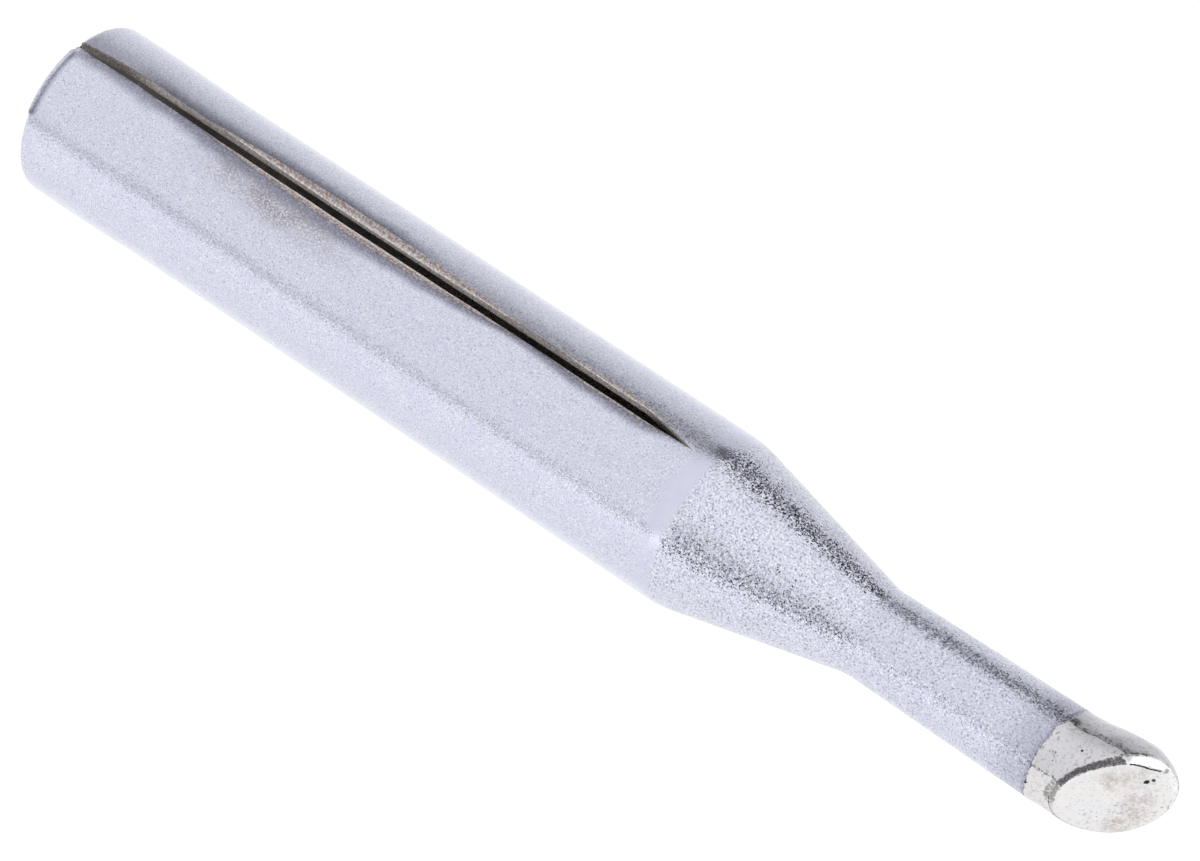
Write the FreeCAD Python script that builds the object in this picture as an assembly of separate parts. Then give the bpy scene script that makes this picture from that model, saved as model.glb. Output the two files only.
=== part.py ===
"""Soldering iron tip: a plated copper bit with a slit sleeve at the rear and a tinned, bevelled nose.

One turned solid with a blind bore for the heater, a sawn slit and a bevelled face.  The frame has
+Z along the axis from the open rear end to the nose, with its origin in the middle of the rear
end, so the bit stands on its rear ring.  The slit lies on the -X side, and the bevelled face looks
towards -Y and up.  Lengths are in millimetres and angles in degrees.
"""
import FreeCAD, Part
import math
import os
from FreeCAD import Vector

# Sleeve: slides over the heater and grips it by the spring of its slit wall
BORE_DIAMETER = 5.00
BORE_DEPTH = 23.4
DRILL_POINT_ANGLE = 118.0
BORE_CHAMFER = 0.06
SLEEVE_WALL = 0.32
SLEEVE_DRAFT = 0.035
MOUTH_SWELL = 0.06
MOUTH_LENGTH = 1.6
MOUTH_BLEND = 3.2
RIM_ROUNDING = 0.20

# Body: a cone from the shoulder down to the neck, then the slender shank up to the tin line
SHOULDER_PAST_BORE = 1.38
SHOULDER_ROUNDING = 4.0
CONE_HALF_ANGLE = 13.3
NECK_DIAMETER = 2.81
NECK_ROUNDING = 1.8
SHANK_LENGTH = 6.35
TIN_LINE_DIAMETER = 2.96

# Nose: its solder coat draws in behind the tin line and swells to a ball, which the bevel halves
WAIST_PAST_LINE = 0.45
WAIST_DROP = 0.02
BALL_PAST_LINE = 2.23
BALL_SWELL = 0.14
BEVEL_ANGLE = 45.0
FACE_ROUNDING = 0.18

# Slit: one cut of a slitting saw, whose rim is ground away towards its far side
SLIT_WIDTH = 0.44
SLIT_PAST_BORE = 0.60
SAW_RADIUS = 20.0
SAW_PLUNGE = 1.5
SAW_RIM_BEVEL = 0.60

# Slit lips: a long and a short stretch dressed with a vee wheel, placed back from the slit's end
LONG_DRESSING_BACK = 12.3
LONG_DRESSING_HALF = 5.7
LONG_DRESSING_WIDTH = 0.19
SHORT_DRESSING_BACK = 2.8
SHORT_DRESSING_HALF = 2.2
SHORT_DRESSING_WIDTH = 0.08
DRESSING_HALF_ANGLE = 50.0

# Room by which a cutter runs past the surface that it enters or leaves
OVERRUN = 1.0
# Largest distance from the bevel plane at which an edge counts as lying in it
PLANE_TOLERANCE = 1e-5

# Sizes that follow from the ones above
BORE_RADIUS = BORE_DIAMETER / 2
SLEEVE_RADIUS = BORE_RADIUS + SLEEVE_WALL
FRONT_RADIUS = SLEEVE_RADIUS - SLEEVE_DRAFT
MOUTH_RADIUS = SLEEVE_RADIUS + MOUTH_SWELL
SLEEVE_START = MOUTH_LENGTH + MOUTH_BLEND
SHOULDER_HEIGHT = BORE_DEPTH + SHOULDER_PAST_BORE
NECK_RADIUS = NECK_DIAMETER / 2
CONE_LENGTH = (FRONT_RADIUS - NECK_RADIUS) / math.tan(math.radians(CONE_HALF_ANGLE))
NECK_HEIGHT = SHOULDER_HEIGHT + CONE_LENGTH
TIN_LINE_RADIUS = TIN_LINE_DIAMETER / 2
TIN_LINE_HEIGHT = NECK_HEIGHT + SHANK_LENGTH
BALL_RADIUS = TIN_LINE_RADIUS + BALL_SWELL
BALL_HEIGHT = TIN_LINE_HEIGHT + BALL_PAST_LINE
SLIT_END = BORE_DEPTH + SLIT_PAST_BORE


def on_profile(radius, height):
    """Point of the turned profile, which is drawn in the XZ plane."""
    return Vector(radius, 0, height)


def line(start, end):
    """Straight edge."""
    return Part.LineSegment(start, end).toShape()


def arc(start, middle, end):
    """Edge of the circular arc through three points."""
    return Part.Arc(start, middle, end).toShape()


def rounded_corner(before, corner, after, radius):
    """Arc that rounds the corner between two straight runs, as its start, middle and end."""
    to_before = (before - corner).normalize()
    to_after = (after - corner).normalize()
    half_angle = to_before.getAngle(to_after) / 2
    reach = radius / math.tan(half_angle)
    bisector = (to_before + to_after).normalize()
    centre = corner + bisector * (radius / math.sin(half_angle))
    return corner + to_before * reach, centre - bisector * radius, corner + to_after * reach


def s_curve(start, end):
    """Two equal arcs, tangent where they meet, that leave and arrive parallel to the axis."""
    middle = (start + end) * 0.5
    turn = 2 * math.atan2(end.x - start.x, end.z - start.z)
    radius = (end.z - start.z) / 2 / math.sin(turn)
    step = on_profile(radius * (1 - math.cos(turn / 2)), radius * math.sin(turn / 2))
    return [arc(start, start + step, middle), arc(middle, end - step, end)]


def sleeve_edges(rear_centre, shoulder_start):
    """Profile of the rear end and the sleeve, from the axis to the start of the shoulder."""
    rim_inner = on_profile(MOUTH_RADIUS - RIM_ROUNDING, 0)
    rim_outer = on_profile(MOUTH_RADIUS, RIM_ROUNDING)
    inset = RIM_ROUNDING * (1 - math.sqrt(0.5))
    mouth_end = on_profile(MOUTH_RADIUS, MOUTH_LENGTH)
    sleeve_start = on_profile(SLEEVE_RADIUS, SLEEVE_START)
    edges = [line(rear_centre, rim_inner)]
    edges.append(arc(rim_inner, on_profile(MOUTH_RADIUS - inset, inset), rim_outer))
    edges.append(line(rim_outer, mouth_end))
    edges += s_curve(mouth_end, sleeve_start)
    edges.append(line(sleeve_start, shoulder_start))
    return edges


def nose_edges(tin_line):
    """Profile of the tinned nose, from the tin line to the pole of the ball."""
    waist = on_profile(TIN_LINE_RADIUS - WAIST_DROP, TIN_LINE_HEIGHT + WAIST_PAST_LINE)
    equator = on_profile(BALL_RADIUS, BALL_HEIGHT)
    diagonal = BALL_RADIUS * math.sqrt(0.5)
    pole = on_profile(0, BALL_HEIGHT + BALL_RADIUS)
    edges = [line(tin_line, waist)]
    edges += s_curve(waist, equator)
    edges.append(arc(equator, on_profile(diagonal, BALL_HEIGHT + diagonal), pole))
    return edges


def turned_blank():
    """Outside of the whole bit, turned about the axis before anything is cut into it."""
    rear_centre = on_profile(0, 0)
    sleeve_start = on_profile(SLEEVE_RADIUS, SLEEVE_START)
    shoulder = on_profile(FRONT_RADIUS, SHOULDER_HEIGHT)
    neck = on_profile(NECK_RADIUS, NECK_HEIGHT)
    tin_line = on_profile(TIN_LINE_RADIUS, TIN_LINE_HEIGHT)
    shoulder_arc = rounded_corner(sleeve_start, shoulder, neck, SHOULDER_ROUNDING)
    neck_arc = rounded_corner(shoulder, neck, tin_line, NECK_ROUNDING)

    edges = sleeve_edges(rear_centre, shoulder_arc[0])
    edges.append(arc(*shoulder_arc))
    edges.append(line(shoulder_arc[2], neck_arc[0]))
    edges.append(arc(*neck_arc))
    edges.append(line(neck_arc[2], tin_line))
    edges += nose_edges(tin_line)
    edges.append(line(on_profile(0, BALL_HEIGHT + BALL_RADIUS), rear_centre))
    profile = Part.Face(Part.Wire(edges))
    return profile.revolve(Vector(0, 0, 0), Vector(0, 0, 1), 360)


def bevel_normal():
    """Outward normal of the bevelled face."""
    tilt = math.radians(BEVEL_ANGLE)
    return Vector(0, -math.sin(tilt), math.cos(tilt))


def cut_bevel(bit):
    """Cut the face through the middle of the ball and round its rim."""
    reach = 2 * BALL_RADIUS + OVERRUN
    block = Part.makeBox(2 * reach, 2 * reach, reach, Vector(-reach, -reach, 0))
    block.rotate(Vector(0, 0, 0), Vector(1, 0, 0), BEVEL_ANGLE)
    block.translate(Vector(0, 0, BALL_HEIGHT))
    bevelled = bit.cut(block)

    centre = Vector(0, 0, BALL_HEIGHT)
    normal = bevel_normal()
    rim = []
    for edge in bevelled.Edges:
        points = edge.discretize(5)
        if max(abs((point - centre).dot(normal)) for point in points) < PLANE_TOLERANCE:
            rim.append(edge)
    return bevelled.makeFillet(FACE_ROUNDING, rim)


def heater_bore():
    """Blind bore for the heater, with a drill point at its end and a chamfer at its mouth."""
    point_length = BORE_RADIUS / math.tan(math.radians(DRILL_POINT_ANGLE / 2))
    drill = Part.makeCylinder(BORE_RADIUS, BORE_DEPTH + OVERRUN, Vector(0, 0, -OVERRUN))
    point = Part.makeCone(BORE_RADIUS, 0, point_length, Vector(0, 0, BORE_DEPTH))
    chamfer_length = BORE_CHAMFER + OVERRUN
    chamfer = Part.makeCone(BORE_RADIUS + chamfer_length, BORE_RADIUS, chamfer_length,
                            Vector(0, 0, -OVERRUN))
    return drill.fuse([point, chamfer])


def disc_cutter(section, centre):
    """Disc turned about an axis parallel to Y.

    `section` is the disc's half section as (distance from its axis, y), and `centre` its centre.
    """
    points = [centre + Vector(radius, y, 0) for radius, y in section]
    face = Part.Face(Part.makePolygon(points + points[:1]))
    return face.revolve(centre, Vector(0, 1, 0), 360)


def slit_cutter():
    """Space swept by the slitting saw, from past the rear end to where its rim runs out."""
    half_width = SLIT_WIDTH / 2
    bevel_end = SAW_RADIUS - SAW_RIM_BEVEL
    section = [(0, -half_width), (SAW_RADIUS, -half_width), (bevel_end, half_width), (0, half_width)]
    half_chord = math.sqrt(SAW_RADIUS**2 - (SAW_RADIUS - SAW_PLUNGE)**2)
    centre = Vector(SAW_PLUNGE - FRONT_RADIUS - SAW_RADIUS, 0, SLIT_END - half_chord)
    blade = disc_cutter(section, centre)

    points = [centre + Vector(radius, y, 0) for radius, y in section]
    travel = Part.Face(Part.makePolygon(points + points[:1]))
    path = travel.extrude(Vector(0, 0, -centre.z - OVERRUN))
    return blade.fuse(path)


def sleeve_radius_at(height):
    """Outside radius of the sleeve on its drafted stretch."""
    share = (height - SLEEVE_START) / (SHOULDER_HEIGHT - SLEEVE_START)
    return SLEEVE_RADIUS - SLEEVE_DRAFT * share


def dressing_cutter(back, half_length, width):
    """Vee wheel that chamfers both lips of the slit by `width` at most, over 2 x `half_length`."""
    height = SLIT_END - back
    flare = math.tan(math.radians(DRESSING_HALF_ANGLE))
    bite = width / flare
    wheel_at_lip = (half_length**2 + bite**2) / (2 * bite)
    wheel_radius = wheel_at_lip + SLIT_WIDTH / 2 / flare
    centre = Vector(bite - sleeve_radius_at(height) - wheel_at_lip, 0, height)
    vee = bite + SLIT_WIDTH / 2 / flare + OVERRUN
    section = [(wheel_radius, 0), (wheel_radius - vee, vee * flare), (wheel_radius - vee, -vee * flare)]
    return disc_cutter(section, centre)


def soldering_bit():
    """The finished bit."""
    bit = cut_bevel(turned_blank())
    bit = bit.cut(heater_bore())
    bit = bit.cut(slit_cutter())
    bit = bit.cut(dressing_cutter(LONG_DRESSING_BACK, LONG_DRESSING_HALF, LONG_DRESSING_WIDTH))
    bit = bit.cut(dressing_cutter(SHORT_DRESSING_BACK, SHORT_DRESSING_HALF, SHORT_DRESSING_WIDTH))
    return bit


def main():
    """Build the bit and write its file."""
    os.makedirs("parts", exist_ok=True)
    bit = soldering_bit()
    bit.exportStep("parts/soldering_bit.step")
    box = bit.BoundBox
    print(f"solids {len(bit.Solids)}, valid {bit.isValid()}, volume {bit.Volume:.2f} mm3")
    print(f"size {box.XLength:.3f} x {box.YLength:.3f} x {box.ZLength:.3f} mm, lowest z {box.ZMin:.4f}")
    print(f"tin line at z {TIN_LINE_HEIGHT:.3f}, slit end at z {SLIT_END:.3f}")


main()
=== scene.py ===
"""Looks of a soldering iron bit: a plated copper bit with a slit sleeve and a tinned, bevelled nose.

The bit stands on its open rear end at the frame's origin, with +Z along its axis.  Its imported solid
gives the form, and two finer meshes take its place: the plated body, with its slit and its bore, and
the coat of solder on the nose.  Sizes are in millimetres and angles in degrees, and a mesh is turned
into metres when it is made.
"""

import logging
import math
from collections.abc import Callable, Sequence
from dataclasses import dataclass
from enum import Enum
from functools import cached_property

import bmesh
import bpy
import numpy as np
from mathutils import Matrix, Vector, noise


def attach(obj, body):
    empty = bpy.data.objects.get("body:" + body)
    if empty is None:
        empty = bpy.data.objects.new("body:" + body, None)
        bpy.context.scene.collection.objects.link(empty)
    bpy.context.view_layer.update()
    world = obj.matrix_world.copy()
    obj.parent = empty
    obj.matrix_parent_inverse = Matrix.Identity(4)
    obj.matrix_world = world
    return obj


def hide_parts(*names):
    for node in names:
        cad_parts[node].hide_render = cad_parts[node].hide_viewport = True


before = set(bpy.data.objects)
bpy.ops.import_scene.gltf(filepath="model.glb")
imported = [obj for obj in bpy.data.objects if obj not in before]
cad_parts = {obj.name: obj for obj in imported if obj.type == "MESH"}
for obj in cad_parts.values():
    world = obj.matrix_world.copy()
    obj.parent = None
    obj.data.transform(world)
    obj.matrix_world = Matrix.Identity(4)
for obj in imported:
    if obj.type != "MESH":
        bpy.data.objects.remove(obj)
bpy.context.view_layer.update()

log = logging.getLogger("soldering_bit")

METRES = 0.001
FULL_TURN = 360.0
WELD_DISTANCE = 2e-8
MM_PER_DEGREE = 0.028

Socket = bpy.types.NodeSocket
Colour = tuple[float, float, float]
Point = tuple[float, float, float]

WHITE: Colour = (1.0, 1.0, 1.0)


class Slot(Enum):
    """Material slots of the record, by name."""

    PLATING = "plating"
    TINNING = "tinning"


class Zone(Enum):
    """Surfaces of the plated body, in the order of its materials."""

    OUTSIDE = 0
    SLIT = 1
    BORE = 2


def clamp(value: float) -> float:
    """Keep a value between 0 and 1."""
    return min(max(value, 0.0), 1.0)


def ease(value: float, start: float, end: float) -> float:
    """Go from 0 at `start` to 1 at `end`, level at both."""
    share = clamp((value - start) / (end - start))
    return share * share * (3.0 - 2.0 * share)


def hump(value: float, centre: float, half: float) -> float:
    """Round hump of height 1 at `centre` that reaches 0 at `half` on either side."""
    return ease(abs(value - centre), half, 0.0)


def plateau(value: float, start: float, full: float, fade: float, end: float) -> float:
    """Go from 0 at `start` to 1 at `full`, and back from 1 at `fade` to 0 at `end`."""
    return ease(value, start, full) * ease(value, end, fade)


def within(distance: float, reach: float) -> float:
    """Value that is 0.5 on a patch's border, and 1 or 0 when `reach` inside or outside of it."""
    return 0.5 + 0.5 * min(max(distance / reach, -1.0), 1.0)


def lumps(point: Sequence[float], size: float, seed: float) -> float:
    """Smooth unevenness between about -1 and 1, in lumps of one size, unlike for each seed."""
    return noise.noise(Vector((point[0] / size + seed, point[1] / size - seed, point[2] / size)))


def azimuth_of(point: Vector) -> float:
    """Direction of a point round the axis, in degrees."""
    return math.degrees(math.atan2(point.y, point.x)) % FULL_TURN


def stretch(azimuth: float, start: float, end: float) -> float:
    """Distance inside a stretch of the nose's rim between two azimuths, less than 0 outside of it."""
    return min(azimuth - start, end - azimuth) * MM_PER_DEGREE


# Shader graphs


def opaque(colour: Colour | Socket) -> tuple[float, ...] | Socket:
    """Add the opacity to a plain colour."""
    return (*colour, 1.0) if isinstance(colour, tuple) else colour


class Graph:
    """Thin wrapper that adds nodes to a node tree and links them."""

    def __init__(self, tree: bpy.types.NodeTree) -> None:
        """Empty the tree and keep it."""
        self.tree = tree
        tree.nodes.clear()

    def add(self, kind: str, inputs: dict[str | int, object] | None = None, **options: object) -> bpy.types.Node:
        """Add a node.

        Args:
            kind: Type of the node, without its common prefix.
            inputs: Value or socket for each named or numbered input.
            options: Settings of the node itself.

        Returns:
            The new node.
        """
        node = self.tree.nodes.new("ShaderNode" + kind)
        for name, value in options.items():
            setattr(node, name, value)
        for name, value in (inputs or {}).items():
            if isinstance(value, bpy.types.NodeSocket):
                self.tree.links.new(value, node.inputs[name])
            else:
                node.inputs[name].default_value = value
        return node

    @cached_property
    def place(self) -> Socket:
        """Place on the bit, in millimetres."""
        metres = self.add("TexCoord").outputs["Object"]
        return self.vector("MULTIPLY", {0: metres, 1: (1.0 / METRES,) * 3})

    def maths(self, operation: str, *values: float | Socket) -> Socket:
        """Result of one sum on the given values."""
        return self.add("Math", dict(enumerate(values)), operation=operation).outputs[0]

    def vector(self, operation: str, inputs: dict[str | int, object]) -> Socket:
        """Result of one sum on directions or places."""
        return self.add("VectorMath", inputs, operation=operation).outputs[0]

    def spread(self, value: Socket, low: float, high: float, out_low: float = 0.0, out_high: float = 1.0) -> Socket:
        """Ease a value, from `out_low` where it is `low` to `out_high` where it is `high`."""
        places = {"Value": value, "From Min": low, "From Max": high, "To Min": out_low, "To Max": out_high}
        return self.add("MapRange", places, interpolation_type="SMOOTHSTEP").outputs[0]

    def speckle(self, size: float, detail: float, rough: float, place: Socket | None = None) -> Socket:
        """Cloudy pattern between 0 and 1, with spots of one size and `detail` finer ones over them."""
        values = {"Vector": place or self.place, "Scale": 1.0 / size, "Detail": detail, "Roughness": rough}
        return self.add("TexNoise", values).outputs["Fac"]

    def blend(self, share: Socket | float, first: Colour | Socket, second: Colour | Socket) -> Socket:
        """Colour that goes from `first` to `second` as `share` goes from 0 to 1."""
        return self.add("Mix", {0: share, 6: opaque(first), 7: opaque(second)}, data_type="RGBA").outputs[2]

    def mask(self, name: str) -> Socket:
        """Value that the mesh carries under `name`."""
        return self.add("Attribute", attribute_name=name).outputs["Fac"]

    def bump(self, height: Socket, depth: float, below: Socket | None = None) -> Socket:
        """Fine relief.

        Args:
            height: Height between 0 and 1.
            depth: Height of 1, in millimetres.
            below: Relief that this one lies on.

        Returns:
            The surface's direction.
        """
        values = {"Height": height, "Distance": depth * METRES, "Strength": 1.0}
        if below is not None:
            values["Normal"] = below
        return self.add("Bump", values).outputs[0]

    def tilt(self, normal: Socket, size: float, amount: Socket) -> Socket:
        """Turn the surface a little, by chance, in each cell of a fine grain.

        Args:
            normal: Direction of the surface below.
            size: Width of a cell.
            amount: Largest turn either way.

        Returns:
            The surface's direction.
        """
        cells = self.add("TexVoronoi", {"Vector": self.place, "Scale": 1.0 / size}).outputs["Color"]
        chance = self.vector("SUBTRACT", {0: cells, 1: (0.5, 0.5, 0.5)})
        turn = self.vector("SCALE", {0: chance, "Scale": amount})
        return self.vector("NORMALIZE", {0: self.vector("ADD", {0: normal, 1: turn})})

    def surface(self, **values: object) -> None:
        """Finish the graph with one metal surface, its inputs given by their names with _ for a space."""
        shader = self.add("BsdfPrincipled", {name.replace("_", " "): value for name, value in values.items()})
        self.add("OutputMaterial", {"Surface": shader.outputs[0]})


def new_material(name: str) -> tuple[bpy.types.Material, Graph]:
    """Make a material.

    Args:
        name: Name of the finish.

    Returns:
        The material and its empty graph.
    """
    material = bpy.data.materials.new(name)
    material.use_nodes = True
    return material, Graph(material.node_tree)


@dataclass(frozen=True)
class Specks:
    """Fine spots of one colour, where a cloudy pattern passes from one level to another."""

    mask: str
    size: float
    start: float
    full: float
    colour: Colour
    shift: Point = (0.0, 0.0, 0.0)


@dataclass(frozen=True)
class PlatedFinish:
    """Satin chromium plate over a blasted ground, which glitters in its fine grain; its white specks are painted glints
    and its dark specks painted shade in pits.
    """

    bright: Colour = (0.750, 0.766, 0.912)
    cloudy: Colour = (0.716, 0.735, 0.886)
    # Specks: the dark ones are painted shade in pits, the white ones painted glints.
    specks: tuple[Specks, ...] = (
        Specks("fine_grain", 0.050, 0.46, 0.31, (0.400, 0.415, 0.520)),
        Specks("fine_grain", 0.050, 0.56, 0.66, WHITE, (7.3, 2.1, 5.7)),
        Specks("blasted", 0.060, 0.46, 0.28, (0.360, 0.370, 0.440)),
        Specks("blasted", 0.060, 0.58, 0.74, WHITE))
    # Blue-grey: heat tint along the slit's lips, and painted shade below the near lip, in the rear rim's groove and
    # towards the tin line.
    blue_tint_and_painted_shade: Colour = (0.205, 0.210, 0.290)
    heat_brown: Colour = (0.300, 0.260, 0.265)
    cloud_size: float = 0.5
    tint_size: float = 0.065
    tint_even: float = 0.62
    grain: float = 0.050
    grain_depth: float = 0.005
    grain_tilt: float = 0.14
    blast_grain: float = 0.060
    blast_depth: float = 0.005
    blast_tilt: float = 0.20
    glossy: float = 0.06
    satin: float = 0.09

    def colour(self, graph: Graph, clouds: Socket) -> Socket:
        """Colour of the plate with its specks of painted glint and painted pit shade, and its tints, the blue-grey one
        partly painted shade.

        Args:
            graph: Graph to add to.
            clouds: Cloudy pattern of the plate.

        Returns:
            The colour.
        """
        colour = graph.blend(clouds, self.bright, self.cloudy)
        # Each speck colour goes over the plate: painted pit shade or painted glint.
        for specks in self.specks:
            place = graph.vector("ADD", {0: graph.place, 1: specks.shift}) if any(specks.shift) else None
            spots = graph.spread(graph.speckle(specks.size, 1.0, 0.5, place), specks.start, specks.full)
            colour = graph.blend(graph.maths("MULTIPLY", spots, graph.mask(specks.mask)), colour, specks.colour)
        fleck = graph.spread(graph.speckle(self.tint_size, 3.0, 0.65), 0.34, 0.60)
        patchy = graph.maths("ADD", self.tint_even, graph.maths("MULTIPLY", fleck, 1.0 - self.tint_even))
        # Blue-grey tint, patchy: heat tint with painted shade.
        colour = graph.blend(graph.maths("MULTIPLY", graph.mask("blue_tint_and_painted_shade"), patchy), colour, self.blue_tint_and_painted_shade)
        return graph.blend(graph.maths("MULTIPLY", graph.mask("heat_brown"), fleck), colour, self.heat_brown)

    def relief(self, graph: Graph) -> Socket:
        """Relief of the grain.

        Args:
            graph: Graph to add to.

        Returns:
            The surface's direction.
        """
        relief = graph.bump(graph.speckle(self.grain, 1.0, 0.5), self.grain_depth)
        blast = graph.maths("MULTIPLY", graph.speckle(self.blast_grain, 1.0, 0.5), graph.mask("blasted"))
        relief = graph.bump(blast, self.blast_depth, relief)
        fine = graph.maths("MULTIPLY", graph.mask("fine_grain"), self.grain_tilt)
        turn = graph.maths("ADD", fine, graph.maths("MULTIPLY", graph.mask("blasted"), self.blast_tilt))
        return graph.tilt(relief, self.grain, turn)

    def material(self) -> bpy.types.Material:
        """Build the material.

        Returns:
            The material.
        """
        material, graph = new_material("satin_chromium_plate")
        clouds = graph.spread(graph.speckle(self.cloud_size, 4.0, 0.6), 0.35, 0.65)
        roughness = graph.spread(clouds, 0.0, 1.0, self.glossy, self.satin)
        colour = self.colour(graph, clouds)
        graph.surface(Base_Color=colour, Metallic=1.0, Roughness=roughness, Normal=self.relief(graph))
        return material


@dataclass(frozen=True)
class SlitFinish:
    """Ground walls and dressed lips of the slit, turned brown by heat."""

    brown: Colour = (0.270, 0.212, 0.202)
    grey: Colour = (0.620, 0.555, 0.550)
    # Pale colours of the sawn walls: painted light, which lifts the walls to the brightness of the dressed lips.
    pale_brown: Colour = (0.620, 0.560, 0.545)
    pale: Colour = (1.0, 0.960, 0.960)
    # Near-black: painted shade deep in the slit, where its walls meet the bore.
    soot_and_painted_shade: Colour = (0.030, 0.027, 0.026)
    grain: float = 0.070
    grain_depth: float = 0.012
    metallic: float = 0.3
    roughness: float = 0.50

    def material(self) -> bpy.types.Material:
        """Build the material.

        Returns:
            The material.
        """
        material, graph = new_material("heat_browned_steel")
        fleck = graph.spread(graph.speckle(self.grain, 3.0, 0.6), 0.38, 0.66)
        dressed = graph.blend(fleck, self.brown, self.grey)
        # Sawn walls: painted light over the lips' colour.
        sawn = graph.blend(fleck, self.pale_brown, self.pale)
        colour = graph.blend(graph.mask("sawn"), dressed, sawn)
        # Painted shade deep in the slit darkens its walls.
        colour = graph.blend(graph.mask("soot_and_painted_shade"), colour, self.soot_and_painted_shade)
        relief = graph.bump(graph.speckle(self.grain, 2.0, 0.6), self.grain_depth)
        graph.surface(Base_Color=colour, Metallic=self.metallic, Roughness=self.roughness, Normal=relief)
        return material


@dataclass(frozen=True)
class BoreFinish:
    """Dull, sooty wall of the bore."""

    soot_and_painted_shade: Colour = (0.300, 0.280, 0.270)
    scale: Colour = (0.440, 0.400, 0.380)
    # Dark colour for the painted shade inside the bore near its open end.
    mouth: Colour = (0.110, 0.096, 0.090)
    spot: float = 0.4
    depth: float = 0.02
    metallic: float = 0.6
    roughness: float = 0.6

    def material(self) -> bpy.types.Material:
        """Build the material.

        Returns:
            The material.
        """
        material, graph = new_material("sooty_bore_wall")
        spots = graph.speckle(self.spot, 4.0, 0.6)
        colour = graph.blend(graph.spread(spots, 0.4, 0.65), self.soot_and_painted_shade, self.scale)
        # Painted shade inside the bore near its open end.
        colour = graph.blend(graph.mask("mouth"), colour, self.mouth)
        relief = graph.bump(spots, self.depth)
        graph.surface(Base_Color=colour, Metallic=self.metallic, Roughness=self.roughness, Normal=relief)
        return material


@dataclass(frozen=True)
class SolderFinish:
    """Used solder: chalky where flux has eaten it, bright where it flowed last."""

    chalk: Colour = (0.850, 0.849, 0.868)
    cream: Colour = (0.870, 0.853, 0.845)
    dull: Colour = (0.780, 0.770, 0.810)
    grey: Colour = (0.370, 0.350, 0.350)
    # Dark film: tarnish, and painted dark reflection on the nose.
    metal: Colour = (0.670, 0.670, 0.712)
    tarnish_and_painted_reflection: Colour = (0.125, 0.118, 0.128)
    black: Colour = (0.030, 0.028, 0.030)
    flux: Colour = (0.470, 0.375, 0.305)
    matt: float = 0.44
    bright: float = 0.15
    fleck_gain: float = 0.4

    def ragged(self, graph: Graph, name: str, size: float, amount: float) -> Socket:
        """Share of a patch, with a broken edge.

        Args:
            graph: Graph to add to.
            name: Name of the value that the mesh carries for the patch.
            size: Width of the breaks.
            amount: How far they reach into the patch.

        Returns:
            The share.
        """
        breaks = graph.maths("SUBTRACT", graph.speckle(size, 3.0, 0.6), 0.5)
        shifted = graph.maths("ADD", graph.mask(name), graph.maths("MULTIPLY", breaks, amount))
        return graph.spread(shifted, 0.38, 0.62)

    def colour(self, graph: Graph, glossy: Socket) -> Socket:
        """Colour of the solder with its stains and marks.

        Args:
            graph: Graph to add to.
            glossy: Share of the bright flow.

        Returns:
            The colour.
        """
        clouds = graph.spread(graph.speckle(0.9, 4.0, 0.6), 0.40, 0.62)
        colour = graph.blend(clouds, self.chalk, self.cream)
        colour = graph.blend(graph.mask("dull"), colour, self.dull)
        stain = graph.spread(graph.speckle(0.22, 5.0, 0.8), 0.34, 0.64)
        colour = graph.blend(graph.maths("MULTIPLY", graph.mask("flux"), stain), colour, self.flux)
        colour = graph.blend(glossy, colour, self.metal)
        more = graph.maths("MULTIPLY", graph.mask("mottled"), self.fleck_gain)
        fleck = graph.spread(graph.maths("ADD", graph.speckle(0.10, 4.0, 0.7), more), 0.56, 0.78)
        colour = graph.blend(fleck, colour, self.grey)
        # Dark film, partly tarnish and partly painted dark reflection.
        film = graph.blend(graph.spread(graph.speckle(0.06, 3.0, 0.7), 0.42, 0.72), self.tarnish_and_painted_reflection, self.grey)
        colour = graph.blend(self.ragged(graph, "tarnish_and_painted_reflection", 0.08, 1.1), colour, film)
        return graph.blend(self.ragged(graph, "black", 0.05, 0.8), colour, self.black)

    def material(self) -> bpy.types.Material:
        """Build the material.

        Returns:
            The material.
        """
        material, graph = new_material("used_solder")
        glossy = self.ragged(graph, "glossy", 0.10, 0.45)
        relief = graph.bump(graph.speckle(0.07, 3.0, 0.6), 0.0045)
        relief = graph.bump(graph.speckle(0.35, 2.0, 0.5), 0.016, relief)
        roughness = graph.spread(glossy, 0.0, 1.0, self.matt, self.bright)
        graph.surface(Base_Color=self.colour(graph, glossy), Metallic=1.0, Roughness=roughness, Normal=relief)
        return material


# Meshes


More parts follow.
